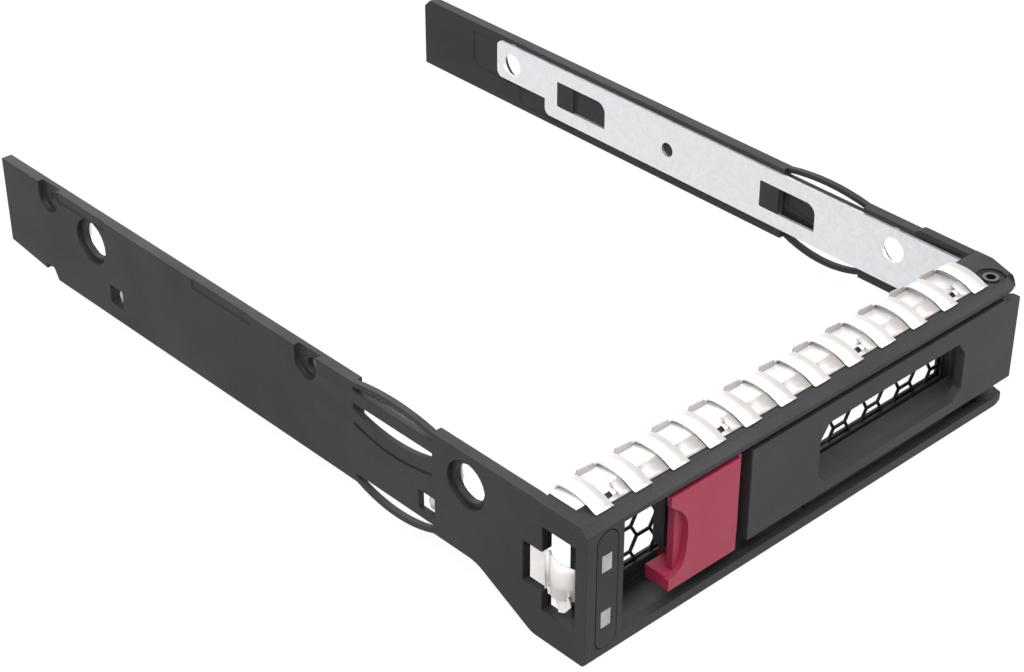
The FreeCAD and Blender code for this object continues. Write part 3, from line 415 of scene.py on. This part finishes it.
def place(shape, name, slot, body, replaced=(), bevel=0, sheet=0, finish=None, flat=False):
    # turns the shape into a finished piece riding on its body
    if not sheet:
        bmesh.ops.recalc_face_normals(shape, faces=shape.faces)
    mesh = bpy.data.meshes.new(name)
    shape.to_mesh(mesh)
    shape.free()
    mesh.polygons.foreach_set("use_smooth", [not flat] * len(mesh.polygons))
    mesh.set_sharp_from_angle(angle=math.radians(edging["sharpFrom"]))
    mesh.materials.append(finishes[finish or slot])
    piece = bpy.data.objects.new(name, mesh)
    bpy.context.scene.collection.objects.link(piece)
    if sheet:
        solid = piece.modifiers.new("thickness", "SOLIDIFY")
        solid.thickness = sheet * mm
        solid.offset = 0
    if bevel:
        edge = piece.modifiers.new("edges", "BEVEL")
        edge.width = bevel * mm
        edge.segments = edging["segments"]
        edge.limit_method = "ANGLE"
        edge.angle_limit = math.radians(edging["bevelFrom"])
        edge.use_clamp_overlap = False
        edge.harden_normals = True
    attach(piece, body)
    if replaced:
        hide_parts(*replaced)
    return piece


# the moulding, with softened edges, a trimmed right front corner
# and the button's guide wall behind the button's face

moulding = {
    "wallLow": (16.2, 1.3, 10.4),
    "wallHigh": (17.6, 3.9, 24.95),
    "wallShift": (4.4, 2.2, 0),
    "cutAt": (105.3, 0.3, 0),
    "cutNormal": (0.95, -0.31, 0),
    "bevel": 0.14,
}


def makeFrame():
    shape = nodeShape("carrier_frame")
    wall = pointsInside(shape, moulding["wallLow"], moulding["wallHigh"])
    bmesh.ops.translate(shape, verts=wall, vec=Vector(moulding["wallShift"]) * mm)
    whole = list(shape.verts) + list(shape.edges) + list(shape.faces)
    cut = bmesh.ops.bisect_plane(
        shape, geom=whole, plane_co=at(*moulding["cutAt"]), plane_no=moulding["cutNormal"],
        clear_outer=True)
    rim = [item for item in cut["geom_cut"] if isinstance(item, bmesh.types.BMEdge)]
    bmesh.ops.holes_fill(shape, edges=rim, sides=0)
    place(shape, "moulded_frame", "frame_plastic", "carrier", ["carrier_frame"], moulding["bevel"])


makeFrame()


# the lever, with softened edges and its window's upper edge raised

lever = {"windowLow": (55, -1, 17.5), "windowHigh": (92, 9, 20.0), "lift": 0.8, "bevel": 0.16}


def makeLever():
    shape = nodeShape("latch_lever")
    upper = pointsInside(shape, lever["windowLow"], lever["windowHigh"])
    bmesh.ops.translate(shape, verts=upper, vec=Vector((0, 0, lever["lift"])) * mm)
    place(shape, "moulded_lever", "lever_plastic", "lever", ["latch_lever"], lever["bevel"])


makeLever()
print("mouldings made")


# the honeycomb, a thin plate with part cells at its edges

vent = {
    "pitch": 5.1,
    "wall": 0.5,
    "thickness": 0.45,
    "columnAt": 71.3,
    "wallAt": 1.6,
    "columns": (-16, 8),
    "rows": 6,
}


def makeVent():
    low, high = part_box("vent_mesh")
    shape = bmesh.new()
    column = vent["pitch"] * math.sqrt(3) / 2
    radius = vent["pitch"] / math.sqrt(3)
    upright = Matrix.Rotation(math.pi / 2, 4, "X") @ Matrix.Rotation(math.pi / 6, 4, "Z")
    for number in range(*vent["columns"]):
        for row in range(vent["rows"]):
            x = vent["columnAt"] + number * column
            z = vent["wallAt"] + vent["pitch"] * (row - (0.5 if number % 2 == 0 else 0))
            spot = at(x, 0, z)
            spot.y = (low.y + high.y) / 2
            bmesh.ops.create_circle(
                shape, cap_ends=True, segments=6, radius=radius * mm,
                matrix=Matrix.Translation(spot) @ upright)
    bmesh.ops.remove_doubles(shape, verts=shape.verts, dist=0.02 * mm)
    cells = list(shape.faces)
    bmesh.ops.inset_individual(shape, faces=cells, thickness=vent["wall"] / 2 * mm)
    bmesh.ops.delete(shape, geom=cells, context="FACES")
    for side, outward in ((low, -1), (high, 1)):
        for axis in (0, 2):
            normal = Vector((0, 0, 0))
            normal[axis] = outward
            whole = list(shape.verts) + list(shape.edges) + list(shape.faces)
            bmesh.ops.bisect_plane(
                shape, geom=whole, plane_co=side, plane_no=normal, clear_outer=True)
    place(shape, "honeycomb", "mesh_black", "carrier", ["vent_mesh"], sheet=vent["thickness"])


makeVent()
print("vent made")


# the contact strip: arched fingers, low leaves between them, lanced tangs and tabs at the rear;
# profiles are (y, height over the strip's base), a tab is (x, height over the base)

strip = {
    "first": 3.8,
    "pitch": 8.33,
    "count": 12,
    "width": 3.7,
    "left": 2.6,
    "right": 99.4,
    "top": 26.72,
    "rear": 11.0,
    "flangeFoot": 23.2,
    "sheet": 0.16,
    "tip": (1.9, 0.08),
    "rise": ((2.5, 0.14), (3.6, 0.75), (4.6, 1.18), (6.6, 1.48)),
    "riseSteps": 8,
    "fall": ((6.6, 1.48), (9.4, 1.53), (11.0, 1.48), (11.0, -0.2)),
    "fallSteps": 9,
    "leaf": ((2.7, 0.02), (3.4, 0.3), (4.4, 0.7), (5.6, 1.0)),
    "lanced": (0, 3, 7, 10),
    "lancedTo": 2.4,
    "tang": ((3.4, 0), (3.6, 0.9), (4.3, 1.0), (4.6, 0.5)),
    "tangSteps": 5,
    "tangSides": (1.3, 2.2),
    "tabFoot": (0.3, -0.2),
    "tabHead": ((-0.4, 1.15), (0.9, 1.4)),
    "tabFrom": 0.3,
    "tabTo": 0.15,
    "baseFront": 5.0,
    "baseSheet": 0.1,
}


def overBase(points):
    return [(y, strip["top"] + height) for y, height in points]


def makeStrip():
    bright = bmesh.new()
    # the leaves and tabs take the darker steel, whose colour is painted shade
    paintedShade = bmesh.new()
    base = bmesh.new()
    top, rear = strip["top"], strip["rear"]
    arch = overBase([strip["tip"]]) + bend(*overBase(strip["rise"]), strip["riseSteps"])
    arch += bend(*overBase(strip["fall"]), strip["fallSteps"])[1:]
    for number in range(strip["count"]):
        left = strip["first"] + strip["pitch"] * number
        ribbon(bright, arch, left, left + strip["width"])
    ribbon(base, [(strip["baseFront"], top), (rear - 0.1, top)], strip["left"], strip["right"])
    ribbon(bright, [(rear, top), (rear, strip["flangeFoot"])], strip["left"], strip["right"])
    leaf = overBase(strip["leaf"])
    tang = bend(*overBase(strip["tang"]), strip["tangSteps"])
    tangLeft, tangRight = strip["tangSides"]
    for number in range(strip["count"] - 1):
        left = strip["first"] + strip["pitch"] * number + strip["width"]
        right = left + strip["pitch"] - strip["width"]
        if number in strip["lanced"]:
            ribbon(paintedShade, leaf, left + strip["lancedTo"], right)
            ribbon(paintedShade, leaf[:2], left, left + strip["lancedTo"])
            ribbon(bright, tang, left + tangLeft, left + tangRight)
        else:
            ribbon(paintedShade, leaf, left, right)
        footLeft, footRight = strip["tabFoot"]
        (headRight, rightHeight), (headLeft, leftHeight) = strip["tabHead"]
        tab = [(left + footLeft, top), (right + footRight, top),
               (right + headRight, top + rightHeight), (left + headLeft, top + leftHeight)]
        prism(paintedShade, tab, rear - strip["tabFrom"], rear - strip["tabTo"])
    thin = strip["sheet"]
    place(bright, "contact_fingers", "spring_steel", "carrier", ["finger_strip"], sheet=thin)
    place(paintedShade, "contact_leaves", "spring_steel", "carrier", sheet=thin, finish="painted_shade_steel")
    # the flat base takes the paler steel, whose colour is painted light
    place(base, "contact_base", "spring_steel", "carrier", sheet=strip["baseSheet"],
          finish="painted_light_steel")


makeStrip()
print("strip made")


# the earthing spring in the left wall: a pad with a foot as (y, z) outlines, and a band
# whose (x, y) path makes the rounded crest and the leaf in front of it

earthing = {
    "pad": ((9.1, 11.0), (12.4, 11.0), (12.4, 17.2), (9.3, 17.5)),
    "padSides": (0.15, 0.3),
    "foot": ((9.0, 11.0), (7.0, 11.4), (4.0, 11.1), (3.6, 9.8), (5.0, 7.9), (6.3, 7.3),
             (7.3, 10.0), (8.7, 9.6)),
    "footSides": (0.45, 0.6),
    "rearBend": ((0.3, 9.3), (1.5, 8.6), (0.1, 8.2), (-0.32, 7.0), 8),
    "crest": ((-0.32, 7.0), (-0.5, 6.2), (-0.3, 5.6), (0.3, 4.9), 7),
    "frontLeaf": ((0.3, 4.9), (0.9, 4.2), (1.3, 3.8), (1.6, 3.4), 4),
    "bandFoot": 10.4,
    "bandTop": 18.4,
    "topAt": 7.6,
    "topSlope": 0.45,
    "sheet": 0.2,
}


def makeEarthing():
    pad = bmesh.new()
    prism(pad, earthing["pad"], *earthing["padSides"], "x")
    prism(pad, earthing["foot"], *earthing["footSides"], "x")
    path = bend(*earthing["rearBend"]) + bend(*earthing["crest"])[1:]
    path += bend(*earthing["frontLeaf"])[1:]
    band = bmesh.new()
    for vert in sheetEdge(band, [at(x, y, earthing["bandFoot"]) for x, y in path]):
        depth = (vert.co.y - corner.y) / mm
        drop = abs(depth - earthing["topAt"]) * earthing["topSlope"]
        vert.co.z = corner.z + (earthing["bandTop"] - drop) * mm
    place(pad, "earthing_pad", "spring_steel", "carrier", ["ground_spring"], flat=True)
    place(band, "earthing_band", "spring_steel", "carrier", sheet=earthing["sheet"])


makeEarthing()


# steps inside the left rail's screw head openings, bright clips in its small openings,
# and the raised edge at the front of the right rail

trim = {
    "holes": (27.0, 128.6),
    "holeHeight": 20.6,
    "step": ((0.9, 3.45), (2.1, 3.45), (2.1, 4.45), (0.9, 4.45)),  # (x, radius)
    "stepSides": 40,
    "rail": ((10.9, 24.9), (22.6, 24.9), (23.4, 25.8), (22.0, 26.7), (10.9, 26.7)),
    "railSides": (105.4, 107.4),
    "railBevel": 0.2,
    "clips": (36.5, 121.9),
    "clipHeight": 11.8,
    "clip": ((-1.5, -1.6), (0.3, -1.6), (0.9, -0.2), (0.3, 1.2), (-1.5, 0.7)),
    "clipSides": (1.2, 1.45),
    "clipBevel": 0.08,
}


def makeTrim():
    shape = bmesh.new()
    for depth in trim["holes"]:
        middle = at(0, depth, trim["holeHeight"])
        verts = [shape.verts.new(middle + Vector((x, 0, radius)) * mm) for x, radius in trim["step"]]
        lines = [shape.edges.new(pair) for pair in zip(verts, verts[1:] + verts[:1])]
        bmesh.ops.spin(
            shape, geom=verts + lines, cent=middle, axis=(1, 0, 0), angle=2 * math.pi,
            steps=trim["stepSides"], use_merge=True)
    bmesh.ops.remove_doubles(shape, verts=shape.verts, dist=0.001 * mm)
    place(shape, "head_steps", "frame_plastic", "carrier")
    rail = bmesh.new()
    prism(rail, trim["rail"], *trim["railSides"], "x")
    place(rail, "rail_corner", "frame_plastic", "carrier", bevel=trim["railBevel"])
    clips = bmesh.new()
    for depth in trim["clips"]:
        outline = [(depth + y, trim["clipHeight"] + z) for y, z in trim["clip"]]
        prism(clips, outline, *trim["clipSides"], "x")
    place(clips, "small_clips", "spring_steel", "carrier", bevel=trim["clipBevel"])


makeTrim()


# the release button: a thin face with a thumb scoop, a foot and the slide with its hook

button = {
    "left": 18.4,
    "right": 34.0,
    "bottom": 5.1,
    "top": 23.5,
    "scoop": [(18.4, 21.6), (19.6, 20.7), (20.8, 19.6), (21.7, 18.4), (22.3, 16.9), (22.5, 14.3),
              (22.2, 11.0), (21.8, 9.5), (21.1, 8.4), (20.0, 7.6), (18.4, 7.3)],
    "scoopDepth": 1.05,
    "scoopFloor": (20.3, 24.0),
    "scoopBack": 2.45,
    "footRight": 33.0,
    "footDepth": 5.2,
    "footTop": 7.7,
    "bodySides": (23.0, 33.6),
    "depth": 6.8,
    "sideStep": ((33.4, 7.5), (35.0, 7.5), (35.0, 23.5), (33.4, 23.5)),
    "sideStepFront": 0.7,
    "slideLeft": 29.0,
    "slideFront": 6.7,
    "slideTop": 12.2,
    "hookLow": 8.2,
    "hookHigh": 11.6,
    "hookFront": 3.0,
    "stemWidth": 1.0,
    "stemBack": 7.0,
    "tipWidth": 2.8,
    "tipBack": 4.4,
    "bevel": 0.12,
}


def makeButton():
    left, right = button["left"], button["right"]
    bottom, top = button["bottom"], button["top"]
    floor, depth = button["scoopDepth"], button["depth"]
    face = bmesh.new()
    outline = [(left, bottom), (right, bottom), (right, top), (left, top)] + button["scoop"]
    prism(face, outline, 0, floor)
    floorLeft, floorRight = button["scoopFloor"]
    box(face, (floorLeft, floor, bottom), (floorRight, button["scoopBack"], top))
    place(face, "button_face", "button_plastic", "button", ["release_button"], flat=True)
    slide = bmesh.new()
    box(slide, (left, floor, bottom), (button["footRight"], button["footDepth"], button["footTop"]))
    bodyLeft, bodyRight = button["bodySides"]
    box(slide, (bodyLeft, floor, bottom), (bodyRight, depth, top))
    prism(slide, button["sideStep"], button["sideStepFront"], depth)
    end = (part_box("release_button")[1] - corner) / mm
    box(slide, (button["slideLeft"], button["slideFront"], bottom), (end.x, end.y, button["slideTop"]))
    front, low, high = button["hookFront"], button["hookLow"], button["hookHigh"]
    box(slide, (end.x - button["stemWidth"], front, low), (end.x, button["stemBack"], high))
    box(slide, (end.x - button["tipWidth"], front, low), (end.x, button["tipBack"], high))
    place(slide, "button_slide", "button_plastic", "button", bevel=button["bevel"])


makeButton()


# the return spring against the frame's post, a copy of the solid with its own mesh


def makeReturnSpring():
    shape = nodeShape("button_spring")
    piece = place(shape, "return_spring", "pin_steel", "carrier", ["button_spring"])
    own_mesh(piece)


makeReturnSpring()
print("button made")


# floor, light and camera

stage = {
    "size": 3.0,
    "under": 0.02 * mm,
    "colour": (0.9, 0.9, 0.9, 1),
    "white": 0.93,  # how far the floor is plain white to the eye, the rest taking shadows
    "skyColour": (0.96, 0.98, 1.0, 1),
    "sky": 0.33,
}


def seenDirectly(finish):
    # 1 for what is seen straight, or in metal or glass
    names = ("Is Camera Ray", "Is Glossy Ray", "Is Transmission Ray")
    camera, glossy, through = [finish.add("ShaderNodeLightPath", output=name) for name in names]
    return (camera + glossy + through).clamped(0, 1)


def makeFloor():
    shape = bmesh.new()
    bmesh.ops.create_grid(shape, x_segments=2, y_segments=2, size=stage["size"] / 2)
    mesh = bpy.data.meshes.new("floor")
    shape.to_mesh(mesh)
    shape.free()
    floor = bpy.data.objects.new("floor", mesh)
    bpy.context.scene.collection.objects.link(floor)
    floor.location.z = cadBox[0].z - stage["under"]
    finish = Finish("pale floor")
    diffuse = finish.add("ShaderNodeBsdfDiffuse", {}, {"Color": stage["colour"]})
    white = finish.add("ShaderNodeEmission", {}, {"Color": (1, 1, 1, 1), "Strength": 1.0})
    amount = seenDirectly(finish) * stage["white"]
    both = finish.add("ShaderNodeMixShader", {}, {0: amount, 1: diffuse, 2: white})
    finish.add("ShaderNodeOutputMaterial", {}, {"Surface": both}, None)
    mesh.materials.append(finish.owner)


def makeWorld():
    studio = Finish("studio", "worlds")
    inputs = {"Color": stage["skyColour"], "Strength": stage["sky"]}
    soft = studio.add("ShaderNodeBackground", {}, inputs)
    white = studio.add("ShaderNodeBackground", {}, {"Color": (1, 1, 1, 1), "Strength": 1.0})
    both = studio.add("ShaderNodeMixShader", {}, {0: seenDirectly(studio), 1: soft, 2: white})
    studio.add("ShaderNodeOutputWorld", {}, {"Surface": both}, None)
    bpy.context.scene.world = studio.owner


lamps = {
    "key": {"place": (-0.35, -0.25, 0.75), "size": 0.5, "power": 9.5},
    "fill": {"place": (0.5, -0.6, 0.45), "size": 0.6, "power": 4.2},
    "back": {"place": (0.25, 0.6, 0.6), "size": 0.6, "power": 4.0},
}


def makeLamps():
    for name, wanted in lamps.items():
        data = bpy.data.lights.new(name, "AREA")
        data.shape = "SQUARE"
        data.size = wanted["size"]
        data.energy = wanted["power"]
        lamp = bpy.data.objects.new(name, data)
        lamp.location = wanted["place"]
        lamp.rotation_euler = (-Vector(wanted["place"])).to_track_quat("-Z", "Y").to_euler()
        bpy.context.scene.collection.objects.link(lamp)


camera = {
    "place": (-0.25016, -0.27269, 0.24145),
    "turn": (55.71, -0.58, -43.93),  # degrees
    "lens": 82.87,
    "sensor": 36,
    "shift": (-0.0435, 0.0485),
}


def makeCamera():
    data = bpy.data.cameras.new("camera")
    data.lens = camera["lens"]
    data.sensor_width = camera["sensor"]
    data.shift_x, data.shift_y = camera["shift"]
    eye = bpy.data.objects.new("camera", data)
    eye.location = camera["place"]
    eye.rotation_euler = [math.radians(angle) for angle in camera["turn"]]
    bpy.context.scene.collection.objects.link(eye)
    bpy.context.scene.camera = eye


makeWorld()
makeLamps()
makeFloor()
makeCamera()
bpy.context.scene.view_settings.view_transform = "Standard"
print("stage set")
